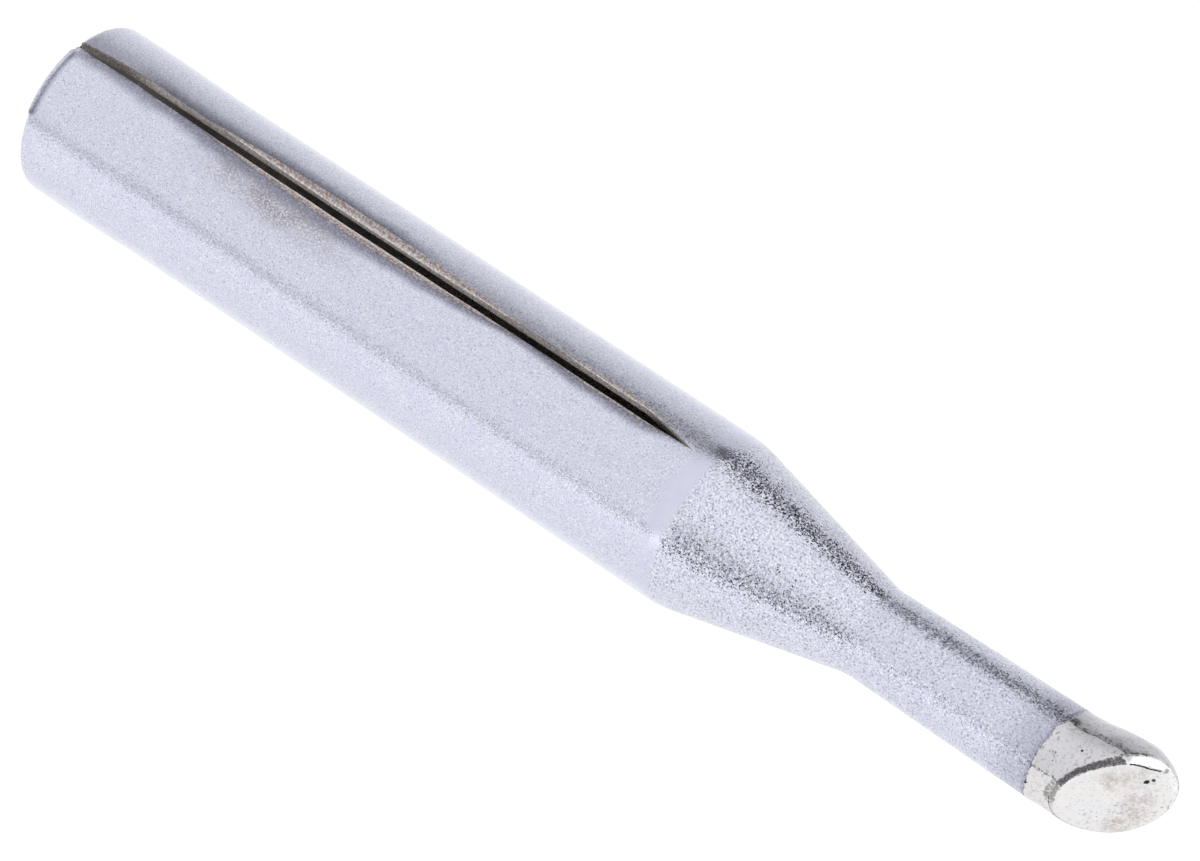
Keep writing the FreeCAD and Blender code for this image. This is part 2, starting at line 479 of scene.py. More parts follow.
class Skin:
    """Mesh under construction: grids of points that are welded where they meet."""

    def __init__(self) -> None:
        """Start with nothing."""
        self.points: list[Point] = []
        self.faces: list[tuple[int, ...]] = []
        self.zones: list[int] = []
        self.inside: list[float] = []

    def grid(self, rows: Sequence[Sequence[Sequence[float]]], zone: Zone = Zone.OUTSIDE) -> None:
        """Add a grid of points with a face in each of its cells.

        Args:
            rows: Points, row by row, all rows of one length.
            zone: Surface that the grid belongs to.
        """
        start, width = len(self.points), len(rows[0])
        for row in rows:
            self.points.extend(tuple(point) for point in row)
        for i in range(len(rows) - 1):
            for j in range(width - 1):
                corner = start + i * width + j
                self.faces.append((corner, corner + 1, corner + width + 1, corner + width))
                self.zones.append(zone.value)

    def fan(self, ring: Sequence[Sequence[float]], tip: Sequence[float], zone: Zone = Zone.OUTSIDE) -> None:
        """Close a ring with faces that run to one point.

        Args:
            ring: Points in order, the last one the same as the first.
            tip: Point where the faces meet.
            zone: Surface that the fan belongs to.
        """
        start = len(self.points)
        self.points.extend(tuple(point) for point in (*ring, tip))
        for j in range(len(ring) - 1):
            self.faces.append((start + j, start + j + 1, start + len(ring)))
            self.zones.append(zone.value)

    def build(self, name: str, materials: Sequence[bpy.types.Material], crease: float) -> bpy.types.Object:
        """Weld the grids into one closed object.

        Args:
            name: Name of the object.
            materials: One material for each zone in use.
            crease: Angle in degrees above which an edge stays sharp.

        Returns:
            The object, linked into the scene.
        """
        mesh = bpy.data.meshes.new(name)
        scaled = [tuple(value * METRES for value in point) for point in self.points]
        mesh.from_pydata(scaled, [], self.faces)
        mesh.polygons.foreach_set("material_index", self.zones)
        if self.inside:
            mesh.attributes.new("inside", "FLOAT", "POINT").data.foreach_set("value", self.inside)
        solid = bmesh.new()
        solid.from_mesh(mesh)
        bmesh.ops.remove_doubles(solid, verts=solid.verts, dist=WELD_DISTANCE)
        bmesh.ops.dissolve_degenerate(solid, edges=solid.edges, dist=WELD_DISTANCE)
        bmesh.ops.recalc_face_normals(solid, faces=solid.faces)
        loose = sum(1 for edge in solid.edges if not edge.is_manifold)
        solid.to_mesh(mesh)
        solid.free()
        mesh.polygons.foreach_set("use_smooth", [True] * len(mesh.polygons))
        mesh.set_sharp_from_angle(angle=math.radians(crease))
        for material in materials:
            mesh.materials.append(material)
        piece = bpy.data.objects.new(name, mesh)
        bpy.context.scene.collection.objects.link(piece)
        log.info("%s: %d points, %d faces, %d open edges", name, len(mesh.vertices), len(mesh.polygons), loose)
        return piece


def paint(piece: bpy.types.Object, shades: Sequence[Callable[..., float]], *known: Sequence[float]) -> None:
    """Store values on each point of a piece, for its material to read.

    Args:
        piece: Object that carries the values.
        shades: Functions that give a value at a place in millimetres, under their own names.
        known: Further values of each point, which the functions take after the place.
    """
    places = [vertex.co / METRES for vertex in piece.data.vertices]
    for shade in shades:
        values = piece.data.attributes.new(shade.__name__, "FLOAT", "POINT")
        values.data.foreach_set("value", [clamp(shade(*given)) for given in zip(places, *known)])


def hand_over(piece: bpy.types.Object) -> None:
    """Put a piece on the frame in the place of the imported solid.

    Args:
        piece: Piece to hand over.
    """
    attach(piece, "root")
    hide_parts("soldering_bit")


@dataclass(frozen=True)
class Corner:
    """Rounded corner between two straight runs of a turned outline."""

    height: float
    radius: float
    slope_before: float
    slope_after: float
    rounding: float

    def reach(self) -> float:
        """Distance from the corner to either end of the rounding."""
        turn = math.atan(self.slope_after) - math.atan(self.slope_before)
        return self.rounding * math.tan(abs(turn) / 2)

    def start(self) -> float:
        """Height where the rounding starts."""
        return self.height - self.reach() * math.cos(math.atan(self.slope_before))

    def end(self) -> float:
        """Height where the rounding ends."""
        return self.height + self.reach() * math.cos(math.atan(self.slope_after))

    def radius_at(self, height: float) -> float:
        """Radius of the outline inside the rounding.

        Args:
            height: Height along the axis.

        Returns:
            The radius.
        """
        lean = math.atan(self.slope_before)
        side = 1.0 if self.slope_after < self.slope_before else -1.0
        start_radius = self.radius - self.reach() * math.sin(lean)
        centre_height = self.start() + side * self.rounding * math.sin(lean)
        centre_radius = start_radius - side * self.rounding * math.cos(lean)
        return centre_radius + side * math.sqrt(self.rounding**2 - (height - centre_height)**2)


@dataclass(frozen=True)
class TurnedOutline:
    """Outside of the body as the lathe leaves it, from the rear end to the tin line."""

    sleeve: float = 2.82
    draft: float = 0.035
    mouth: float = 2.88
    mouth_length: float = 1.6
    mouth_blend: float = 3.2
    rim: float = 0.20
    burr: float = 0.05
    groove: float = 0.045
    groove_height: float = 0.160
    shoulder: float = 24.78
    shoulder_rounding: float = 4.0
    cone_half_angle: float = 13.3
    neck: float = 1.405
    neck_rounding: float = 1.8
    shank_length: float = 6.35
    tin_line: float = 1.48

    @property
    def sleeve_start(self) -> float:
        """Height where the swollen mouth has run out."""
        return self.mouth_length + self.mouth_blend

    @property
    def neck_height(self) -> float:
        """Height where the cone meets the shank."""
        fall = self.sleeve - self.draft - self.neck
        return self.shoulder + fall / math.tan(math.radians(self.cone_half_angle))

    @property
    def tin_height(self) -> float:
        """Height of the tin line."""
        return self.neck_height + self.shank_length

    def corners(self) -> tuple[Corner, Corner]:
        """Find the rounded corners.

        Returns:
            The corner at the shoulder and the one at the neck.
        """
        sleeve_slope = -self.draft / (self.shoulder - self.sleeve_start)
        cone_slope = -math.tan(math.radians(self.cone_half_angle))
        shank_slope = (self.tin_line - self.neck) / self.shank_length
        front = self.sleeve - self.draft
        shoulder = Corner(self.shoulder, front, sleeve_slope, cone_slope, self.shoulder_rounding)
        return shoulder, Corner(self.neck_height, self.neck, cone_slope, shank_slope, self.neck_rounding)

    def radius_at(self, height: float) -> float:
        """Radius of the outline.

        Args:
            height: Height along the axis.

        Returns:
            The radius.
        """
        if height < self.rim:
            return self.mouth - self.rim + math.sqrt(max(self.rim**2 - (self.rim - height)**2, 0.0))
        if height < self.sleeve_start:
            share = ease(height, self.mouth_length, self.sleeve_start)
            return self.mouth + (self.sleeve - self.mouth) * share
        shoulder, neck = self.corners()
        for corner in (shoulder, neck):
            if corner.start() < height < corner.end():
                return corner.radius_at(height)
        if height <= shoulder.start():
            return shoulder.radius + shoulder.slope_before * (height - shoulder.height)
        if height <= neck.start():
            return shoulder.radius + shoulder.slope_after * (height - shoulder.height)
        return neck.radius + neck.slope_after * (height - neck.height)

    def burr_radius_at(self, height: float) -> float:
        """Radius of the rear rim where its corner is left nearly sharp, with a fine groove past it."""
        inset = self.burr - math.sqrt(self.burr**2 - max(self.burr - height, 0.0)**2)
        return self.mouth - inset - self.groove * hump(height, self.groove_height, 0.11)


@dataclass(frozen=True)
class TinLine:
    """Ragged line round the shank where the coat of solder starts."""

    height: float = 36.968
    raggedness: float = 0.035
    top_rise: float = 0.19
    under_tin: float = 0.06

    def rise_at(self, direction: Vector) -> float:
        """Height of the line above its mean in a direction from the axis."""
        wave = lumps(direction * 1.5, 0.45, 1.0) + 0.6 * lumps(direction * 1.5, 0.13, 4.0)
        return self.raggedness * wave + self.top_rise * plateau(azimuth_of(direction), 40.0, 90.0, 167.0, 199.0)

    def past(self, point: Vector) -> float:
        """Height of a point above the line."""
        return point.z - self.height - self.rise_at(Vector((point.x, point.y, 0.0)).normalized())

    def dip_at(self, direction: Vector, height: float) -> float:
        """Depth of the plated surface where the coat covers it."""
        return self.under_tin * ease(height - self.height - self.rise_at(direction), 0.0, 0.10)


@dataclass(frozen=True)
class Dressing:
    """Stretch where both lips of the slit are ground back to a lens."""

    height: float
    half_length: float
    near: float
    far: float

    def share_at(self, height: float) -> float:
        """Share of the lens's full width at a height."""
        return max(1.0 - ((height - self.height) / self.half_length)**2, 0.0)


@dataclass(frozen=True)
class Slit:
    """Sawn slit along the -X side, whose lips are dressed and whose front end runs to a point."""

    near_wall: float = -0.262
    far_wall: float = 0.174
    waviness: float = 0.020
    end: float = 24.0
    point_length: float = 2.0
    point_offset: float = -0.215
    mouth_pinch: float = 0.19
    pinch_length: float = 2.6
    dressings: tuple[Dressing, ...] = (Dressing(11.4, 6.2, 0.25, 0.22), Dressing(21.0, 2.4, 0.085, 0.10))
    near_slope: float = 0.26
    far_slope: float = 0.75
    raggedness: float = 0.016

    def near_at(self, height: float) -> float:
        """Offset in Y of the near wall."""
        sawn = self.near_wall + self.waviness * lumps((0.0, 0.0, height), 1.7, 5.0)
        return sawn + (self.point_offset - sawn) * ease(height, self.end - self.point_length, self.end)

    def far_at(self, height: float) -> float:
        """Offset in Y of the far wall."""
        sawn = self.far_wall - self.mouth_pinch * max(1.0 - height / self.pinch_length, 0.0)**1.5
        return sawn + (self.point_offset - sawn) * clamp(1.0 - (self.end - height) / self.point_length)**1.2

    def lips(self, height: float) -> tuple[float, float]:
        """Find the outer edges of the lips.

        Args:
            height: Height along the axis.

        Returns:
            The offsets in Y of the near and of the far edge.
        """
        fade = clamp((self.end - height) / self.point_length)
        near = fade * max(item.near * item.share_at(height) for item in self.dressings)
        far = fade * max(item.far * item.share_at(height) for item in self.dressings)
        waver = self.raggedness * clamp((self.end - height) / 0.4)
        near_edge = self.near_at(height) - near + waver * lumps((0.0, 0.0, height), 0.35, 3.0)
        return near_edge, self.far_at(height) + far + waver * lumps((0.0, 0.0, height), 0.30, 7.0)


def on_side(offset: float, radius: float, height: float) -> Point:
    """Point on the -X side at an offset in Y and a distance from the axis."""
    return -math.sqrt(radius * radius - offset * offset), offset, height


@dataclass(frozen=True)
class PlatedBody:
    """The plated body: sleeve, cone and shank in one skin, with the slit and the heater's bore."""

    outline: TurnedOutline = TurnedOutline()
    slit: Slit = Slit()
    line: TinLine = TinLine()
    bore: float = 2.50
    bore_depth: float = 23.4
    bore_chamfer: float = 0.06
    drill_point: float = 118.0
    columns: int = 200
    rim_steps: int = 8
    wall_steps: int = 7
    floor_steps: int = 6
    row_length: float = 0.16
    cone_row_length: float = 0.10
    line_row_length: float = 0.02
    tuck: float = 0.40
    burr_start: float = 187.0
    burr_end: float = 239.0
    crease: float = 28.0

    def heights(self, low: float, high: float, step: float) -> list[float]:
        """Evenly spaced heights from `low` to `high`, no further apart than `step`."""
        count = max(int(math.ceil((high - low) / step)), 1)
        return [low + (high - low) * i / count for i in range(count + 1)]

    def rim_heights(self) -> list[float]:
        """Heights through the rounding of the rear rim."""
        turns = [math.pi / 2 * i / self.rim_steps for i in range(self.rim_steps)]
        return [self.outline.rim * (1.0 - math.cos(turn)) for turn in turns]

    def bore_radius(self, height: float) -> float:
        """Radius of the bore, with the chamfer at its mouth."""
        return self.bore + max(self.bore_chamfer - height, 0.0)

    def floor_radius(self, height: float) -> float:
        """Distance of the slit's floor from the axis, past the bore's end."""
        share = clamp((height - self.bore_depth) / (self.slit.end - self.bore_depth))
        return self.bore + (self.outline.radius_at(height) - self.bore) * share

    def angles(self, radius: float, near: float, far: float) -> list[float]:
        """Angles round the axis, in radians, from the far side of the slit the long way to its near side."""
        first, last = math.pi - math.asin(far / radius), -math.pi - math.asin(near / radius)
        return [first + (last - first) * j / self.columns for j in range(self.columns + 1)]

    def burr_share(self, azimuth: float) -> float:
        """Share of the rim's left-over burr, which runs a short way round from the slit."""
        return plateau(azimuth, self.burr_start, self.burr_start + 3.0, self.burr_end - 2.0, self.burr_end)

    def outside_row(self, height: float) -> list[Point]:
        """Find the points round the outside, from the far lip to the near lip.

        Args:
            height: Height along the axis.

        Returns:
            The points.
        """
        radius = self.outline.radius_at(height)
        burr = self.outline.burr_radius_at(height) if height < 2.0 * self.outline.rim else radius
        row = []
        for angle in self.angles(radius, *self.slit.lips(min(height, self.slit.end))):
            direction = Vector((math.cos(angle), math.sin(angle), 0.0))
            here = radius + (burr - radius) * self.burr_share(math.degrees(angle) % FULL_TURN)
            if height > self.line.height - 0.2:
                here -= self.line.dip_at(direction, height)
            row.append((here * direction.x, here * direction.y, height))
        return row

    def bore_row(self, height: float) -> list[Point]:
        """Points round the bore from the far wall to the near wall."""
        radius, near, far = self.bore_radius(height), self.slit.near_at(height), self.slit.far_at(height)
        return [(radius * math.cos(a), radius * math.sin(a), height) for a in self.angles(radius, near, far)]

    def wall_row(self, height: float, far: bool) -> list[Point]:
        """Find the points down one wall of the slit, from the lip's outer edge to the bore or the floor.

        Args:
            height: Height along the axis.
            far: Whether it is the far wall, on the +Y side.

        Returns:
            The points, outermost first.
        """
        radius = self.outline.radius_at(height)
        edge = self.slit.lips(height)[1 if far else 0]
        wall = self.slit.far_at(height) if far else self.slit.near_at(height)
        bottom = self.bore_radius(height) if height <= self.bore_depth else self.floor_radius(height)
        slope = self.slit.far_slope if far else self.slit.near_slope
        drop = min(abs(edge - wall) * slope, radius - bottom)
        row = [on_side(edge + (wall - edge) * share, radius - drop * share, height) for share in (0.0, 0.5, 1.0)]
        for i in range(1, self.wall_steps + 1):
            depth = drop + (radius - bottom - drop) * i / self.wall_steps
            row.append(on_side(wall, radius - depth, height))
        return row

    def floor_row(self, height: float) -> list[Point]:
        """Find the points across the floor of the slit.

        Args:
            height: Height along the axis.

        Returns:
            The points, from the far to the near wall.
        """
        far, near = self.slit.far_at(height), self.slit.near_at(height)
        radius, steps = self.floor_radius(height), self.floor_steps
        return [on_side(far + (near - far) * i / steps, radius, height) for i in range(steps + 1)]

    def skin(self) -> Skin:
        """Put the whole surface together.

        Returns:
            The closed skin.
        """
        outline, slit = self.outline, self.slit
        skin = Skin()
        open_rows = self.rim_heights() + self.heights(outline.rim, self.bore_depth, self.row_length)
        end_rows = self.heights(self.bore_depth, slit.end, self.cone_row_length)
        slit_rows = open_rows + end_rows[1:]
        front = outline.tin_height + self.tuck
        plain_rows = self.heights(slit.end, outline.tin_height - 0.1, self.cone_row_length)
        line_rows = self.heights(outline.tin_height - 0.1, front, self.line_row_length)
        skin.grid([self.outside_row(z) for z in slit_rows])
        skin.grid([self.outside_row(z) for z in plain_rows + line_rows[1:]])

        for far in (True, False):
            skin.grid([self.wall_row(z, far) for z in slit_rows], Zone.SLIT)
        skin.grid([self.floor_row(z) for z in end_rows], Zone.SLIT)
        skin.grid([self.bore_row(z) for z in open_rows], Zone.BORE)
        end_ring = self.bore_row(self.bore_depth) + self.floor_row(self.bore_depth)[::-1][1:]
        tip = self.bore / math.tan(math.radians(self.drill_point / 2))
        skin.fan(end_ring, (0.0, 0.0, self.bore_depth + tip), Zone.BORE)

        rear_inner = self.bore_row(0.0)
        skin.grid([self.outside_row(0.0), rear_inner])
        skin.fan(self.wall_row(0.0, True), rear_inner[0])
        skin.fan(self.wall_row(0.0, False), rear_inner[-1])
        skin.fan(self.outside_row(front), (0.0, 0.0, front))
        return skin

    def blue_tint_and_painted_shade(self, point: Vector) -> float:
        """Blue-grey tint along the slit's lips, painted shade in the groove past the rear rim's burr, and painted shade
        darkening the plate towards the tin line.

        Args:
            point: Place on the body.

        Returns:
            The share of the tint.
        """
        line = self.outline.tin_height
        # Painted shade: the plate darkens towards the edge of the solder coat.
        if point.z > line - 1.6:
            past = point.z - line - self.line.rise_at(Vector((point.x, point.y, 0.0)).normalized())
            return max(0.38 * ease(past, -1.5, -0.3), 0.70 * ease(past, -0.22, -0.02))
        if point.x > 0.0 or point.z > self.slit.end:
            return 0.0
        # Painted shade in the fine groove past the rear rim's burr.
        if point.z < 0.3:
            return self.burr_share(azimuth_of(point)) * hump(point.z, self.outline.groove_height, 0.12)
        return self.lip_tint_and_painted_shade(point)

    def lip_tint_and_painted_shade(self, point: Vector) -> float:
        """Tint along both lips of the slit: heat tint, with painted shade of the near lip's rounded edge below that
        lip.

        Args:
            point: Place on the sleeve.

        Returns:
            The share of the tint.
        """
        near, far = self.slit.lips(point.z)
        below, above = near - point.y, point.y - far
        waver = 1.0 + 0.35 * lumps(point, 0.9, 2.0)
        fade = ease(point.z, self.slit.end - 0.4, self.slit.end - 1.6)
        # Below the near lip: painted shade of its rounded edge.
        if below > -0.02:
            middle = plateau(point.z, 3.2, 5.8, 10.2, 13.6)
            reach = 0.36 + 0.20 * ease(point.z, 6.0, 3.0) + 0.26 * middle - 0.14 * hump(point.z, 17.4, 1.6)
            level = 0.74 + 0.20 * ease(point.z, 2.0, 5.5)
            return level * fade * ease(below / (reach * waver), 1.0, 0.25)
        if above > -0.02:
            along = 0.05 + 0.95 * plateau(point.z, 1.8, 3.6, 12.2, 14.6)
            return along * fade * max(1.0 - above / (0.42 * waver), 0.0)
        return 0.0

    def heat_brown(self, point: Vector) -> float:
        """Brown specks beyond the blue tint on the near side of the slit.

        Args:
            point: Place on the body.

        Returns:
            The share of the specks.
        """
        if point.x > 0.0 or point.z > self.slit.end - 0.6:
            return 0.0
        below = self.slit.lips(point.z)[0] - point.y
        if below < -0.02:
            return 0.0
        patch = hump(point.z, 8.6, 4.4) * hump(below, 0.62, 0.70)
        return max(patch * (0.85 + 0.5 * lumps(point, 0.8, 5.0)), 0.5 * ease(below, 0.16, 0.04))

    def cone_share(self, point: Vector) -> float:
        """Share of the cone's grain, whose rear edge is drawn sharply below and softly above.

        Args:
            point: Place on the body.

        Returns:
            The share.
        """
        softness = 0.10 + 0.28 * ease(azimuth_of(point), 200.0, 160.0)
        start = self.outline.shoulder - 0.10 + 0.05 * lumps(point, 0.4, 6.0)
        return ease(point.z, start, start + softness)

    def shank_share(self, point: Vector) -> float:
        """Share of the shank, which is 1 past the neck."""
        return ease(point.z, self.outline.neck_height - 0.3, self.outline.neck_height + 0.4)

    def calm(self, point: Vector) -> float:
        """Share of the smooth bright band round the shoulder, where the plate has little grain."""
        level = 0.45 + 0.55 * plateau(azimuth_of(point), 180.0, 192.0, 242.0, 250.0)
        return level * ease(point.z, self.slit.end - 0.1, self.slit.end + 0.3) * (1.0 - self.cone_share(point))

    def blasted(self, point: Vector) -> float:
        """Share of the coarse blasted grain on the cone and the shank, with its specks of painted glint and painted pit
        shade.
        """
        return self.cone_share(point) * (1.0 - 0.05 * self.shank_share(point))

    def fine_grain(self, point: Vector) -> float:
        """Share of the fine specks of painted glint and painted pit shade, which are fainter on the shank."""
        return (0.70 - 0.35 * self.shank_share(point)) * (1.0 - self.calm(point))

    def mouth(self, point: Vector) -> float:
        """Share of the painted shade inside the bore near its open end."""
        return ease(point.z, 5.5, 2.5)

    def depth_of(self, point: Vector) -> float:
        """Depth of a point below the turned outside."""
        return self.outline.radius_at(point.z) - math.hypot(point.x, point.y)

    def sawn(self, point: Vector) -> float:
        """Share of the painted light on the sawn wall, inside the lips that were dressed.

        Args:
            point: Place on the body.

        Returns:
            The share.
        """
        away = min(abs(point.y - self.slit.far_at(point.z)), abs(point.y - self.slit.near_at(point.z)))
        if away >= 1e-4:
            return 0.0
        return ease(self.depth_of(point), 0.0, 0.06) * (1.0 - 0.9 * ease(point.z, 3.4, 1.8))

    def soot_and_painted_shade(self, point: Vector) -> float:
        """Painted shade on the slit's walls where they meet the bore, deep in its pointed end and at its mouth.

        Args:
            point: Place on the body.

        Returns:
            The share of the painted shade.
        """
        depth, radius = self.depth_of(point), math.hypot(point.x, point.y)
        end = ease(point.z, 21.9, 22.6) * ease(depth, 0.06, 0.16)
        mouth = ease(point.z, 2.6, 1.4) * ease(depth, 0.03, 0.13)
        return max(0.8 * ease(radius, self.bore + 0.02, self.bore), 0.85 * end, 0.55 * mouth)

    def build(self) -> bpy.types.Object:
        """Build and dress the body.

        Returns:
            The piece, handed over to the frame.
        """
        finishes = [PlatedFinish().material(), SlitFinish().material(), BoreFinish().material()]
        piece = self.skin().build("plated_body", finishes, self.crease)
        paint(piece, (self.blue_tint_and_painted_shade, self.heat_brown, self.blasted, self.fine_grain, self.sawn, self.soot_and_painted_shade, self.mouth))
        hand_over(piece)
        return piece


@dataclass(frozen=True)
class RimKnot:
    """Bevelled rim of the face in one direction round the axis: how far it drops, and how wide it is."""

    azimuth: float
    drop: float
    width: float


@dataclass(frozen=True)
class Pit:
    """Small pit in the solder."""

    x: float
    y: float
    z: float
    radius: float

    def away(self, point: Vector) -> float:
        """Distance of a point from the pit's middle."""
        return (point - Vector((self.x, self.y, self.z))).length


@dataclass(frozen=True)
class TinnedNose:
    """The coat of solder: drawn in behind the tin line, then a ball that the bevelled face halves."""

    line: TinLine = TinLine()
    line_radius: float = 1.488
    waist_rise: float = 0.45
    waist_drop: float = 0.02
    ball_rise: float = 2.23
    ball: float = 1.62
    bevel: float = 45.0
    face_azimuth: float = 265.5
    face_lift: float = 0.09
    lean: float = 0.055
    lean_azimuth: float = 126.0
    tuck: float = 0.07
    columns: int = 320
    side_rows: int = 110
    rim_rows: int = 14
    face_rows: int = 60
    face_centre: float = -0.25
    corner_easing: float = 0.10
    crease: float = 60.0
    rim: tuple[RimKnot, ...] = (
        RimKnot(0.0, 0.05, 0.12), RimKnot(60.0, 0.07, 0.20), RimKnot(120.0, 0.07, 0.26),
        RimKnot(140.0, 0.02, 0.14), RimKnot(146.0, 0.05, 0.16), RimKnot(152.0, 0.10, 0.22),
        RimKnot(160.0, 0.14, 0.27), RimKnot(169.0, 0.12, 0.25), RimKnot(177.0, 0.10, 0.19),
        RimKnot(183.0, 0.11, 0.20), RimKnot(200.0, 0.08, 0.19), RimKnot(217.0, 0.09, 0.15),
        RimKnot(233.0, 0.08, 0.14), RimKnot(250.0, 0.08, 0.17), RimKnot(268.0, 0.05, 0.16),
        RimKnot(285.0, 0.04, 0.08), RimKnot(320.0, 0.04, 0.08), RimKnot(360.0, 0.05, 0.12))
    facet: tuple[float, float] = (147.0, 179.5)
    lower_rim: tuple[float, float] = (262.0, 330.0)
    gloss_start: float = 40.0
    gloss_end: float = 177.5
    crack_azimuth: float = 240.5
    crack_end: float = 37.85
    pits: tuple[Pit, ...] = (
        Pit(-0.62, 0.42, 39.68, 0.085), Pit(-0.68, 0.55, 39.82, 0.060), Pit(-1.41, -0.48, 38.00, 0.045),
        Pit(-1.42, -0.28, 38.02, 0.030), Pit(-1.12, -0.95, 37.80, 0.025), Pit(-1.19, -0.84, 37.40, 0.025),
        Pit(-1.03, -1.03, 37.46, 0.022), Pit(-0.12, -1.48, 37.02, 0.050))
    stains: tuple[tuple[float, float], ...] = (
        (-0.80, -0.34), (-0.77, 0.33), (0.20, 0.50), (0.75, 0.40), (1.10, 0.10))
    stain_half: float = 0.75

    @property
    def ball_height(self) -> float:
        """Height of the ball's centre."""
        return self.line.height + self.ball_rise

    def normal(self) -> Vector:
        """Outward direction of the bevelled face."""
        tilt, turn = math.radians(self.bevel), math.radians(self.face_azimuth)
        return Vector((math.sin(tilt) * math.cos(turn), math.sin(tilt) * math.sin(turn), math.cos(tilt)))

    def above_face(self, point: Vector) -> float:
        """Distance of a point above the plane of the face."""
        return (point - Vector((0.0, 0.0, self.ball_height))).dot(self.normal()) - self.face_lift

    def side_radius(self, height: float) -> float:
        """Radius of the solder coat below the ball's middle.

        Args:
            height: Height along the axis.

        Returns:
            The radius.
        """
        waist_height, waist = self.line.height + self.waist_rise, self.line_radius - self.waist_drop
        if height < waist_height:
            return self.line_radius - self.waist_drop * ease(height, self.line.height, waist_height)
        return waist + (self.ball - waist) * ease(height, waist_height, self.ball_height)

    def rim_at(self, azimuth: float) -> tuple[float, float]:
        """Drop and width of the face's rim at a direction round the axis."""
        azimuths, drops, widths = zip(*((knot.azimuth, knot.drop, knot.width) for knot in self.rim))
        return float(np.interp(azimuth, azimuths, drops)), float(np.interp(azimuth, azimuths, widths))

    def turned_point(self, path: float, angle: float, inset: float = 0.0) -> Vector:
        """Find a point on the side of the coat.

        Args:
            path: Distance along the outline from the tin line.
            angle: Angle round the axis, in radians.
            inset: Depth below the surface.

        Returns:
            The point.
        """
        if path < self.ball_rise:
            height = self.line.height + path
            radius = self.side_radius(height) - inset
        else:
            rise = (path - self.ball_rise) / self.ball
            height = self.ball_height + (self.ball - inset) * math.sin(rise)
            radius = (self.ball - inset) * math.cos(rise)
        lean = math.radians(self.lean_azimuth)
        shift = self.lean * ease(height, 37.3, 38.6)
        x = radius * math.cos(angle) + shift * math.cos(lean)
        y = radius * math.sin(angle) + shift * math.sin(lean)
        return Vector((x, y, height))

    def rim_path(self, angle: float) -> float:
        """Find where the side meets the rim of the face.

        Args:
            angle: Angle round the axis, in radians.

        Returns:
            The distance along the outline.
        """
        drop, _ = self.rim_at(math.degrees(angle) % FULL_TURN)
        low, high = 0.0, self.ball_rise + self.ball * math.pi / 2
        for _ in range(30):
            middle = (low + high) / 2
            if self.above_face(self.turned_point(middle, angle)) < -drop:
                low = middle
            else:
                high = middle
        return low

    def swell(self, point: Vector) -> float:
        """Unevenness of the solder, with the pits sunk in."""
        pits = sum(pit.radius * ease(pit.away(point) / pit.radius, 1.4, 0.4) for pit in self.pits)
        return 0.020 * lumps(point, 0.9, 2.0) + 0.010 * lumps(point, 0.3, 6.0) - 0.45 * pits

    def side(self, angle: float) -> tuple[list[Vector], list[float]]:
        """Find the points from the ragged edge up the side to the rim of the face.

        Args:
            angle: Angle round the axis, in radians.

        Returns:
            The points, and for each its distance inside the face's rim.
        """
        direction = Vector((math.cos(angle), math.sin(angle), 0.0))
        start, end = self.line.rise_at(direction), self.rim_path(angle)
        points, inside = [self.turned_point(start, angle, self.tuck)], [start - end]
        for i in range(self.side_rows + 1):
            path = start + (end - start) * i / self.side_rows
            lip = 0.02 * max(1.0 - (path - start) / 0.04, 0.0)**2
            corner = 0.3 * max(self.corner_easing - end + path, 0.0)**2 / self.corner_easing
            point = self.turned_point(path, angle, lip + corner)
            points.append(point + direction * self.swell(point) * plateau(path, start, start + 0.4, end - 0.15, end))
            inside.append(path - end)
        return points, inside

    def column(self, angle: float) -> tuple[list[Vector], list[float]]:
        """Find the points over the side, the rim and the face to its middle.

        Args:
            angle: Angle round the axis, in radians.

        Returns:
            The points, and for each its distance inside the face's rim.
        """
        points, inside = self.side(angle)
        normal = self.normal()
        drop = -self.above_face(points[-1])
        outer = points[-1] + normal * drop
        middle = Vector((0.0, 0.0, self.ball_height)) + normal * self.face_lift
        middle += normal.cross(Vector((1.0, 0.0, 0.0))).normalized() * self.face_centre
        span = (middle - outer).length
        _, width = self.rim_at(math.degrees(angle) % FULL_TURN)
        steps = [width * (i + 1) / self.rim_rows for i in range(self.rim_rows)]
        steps += [width + (span - width) * (i + 1) / self.face_rows for i in range(self.face_rows - 1)]
        for step in steps:
            point = outer + (middle - outer) * (step / span)
            depth = drop * max(1.0 - step / width, 0.0)**1.3
            points.append(point + normal * (self.swell(point) * ease(step, 0.0, 0.15) - depth))
            inside.append(step)
        return points, inside

    def skin(self) -> Skin:
        """Put the coat together and close it at the back.

        Returns:
            The closed skin.
        """
        columns = [self.column(2.0 * math.pi * j / self.columns) for j in range(self.columns)]
        columns.append(columns[0])
        rows = [[points[i] for points, _ in columns] for i in range(len(columns[0][0]))]
        skin = Skin()
        skin.grid(rows)
        skin.inside = [inside[i] for i in range(len(rows)) for _, inside in columns]
        skin.fan(rows[-1], sum(rows[-1][:-1], Vector()) / self.columns)
        skin.inside += [1.0] * (len(skin.points) - len(skin.inside))
        skin.fan(rows[0], (0.0, 0.0, self.line.height + 0.1))
        skin.inside += [-1.0] * (len(skin.points) - len(skin.inside))
        return skin

    def gloss_edge(self, azimuth: float, point: Vector) -> float:
        """Degrees from a point to the edge between the dull and the glossy side."""
        return azimuth - self.gloss_end - 2.5 * lumps(point, 0.5, 8.0)

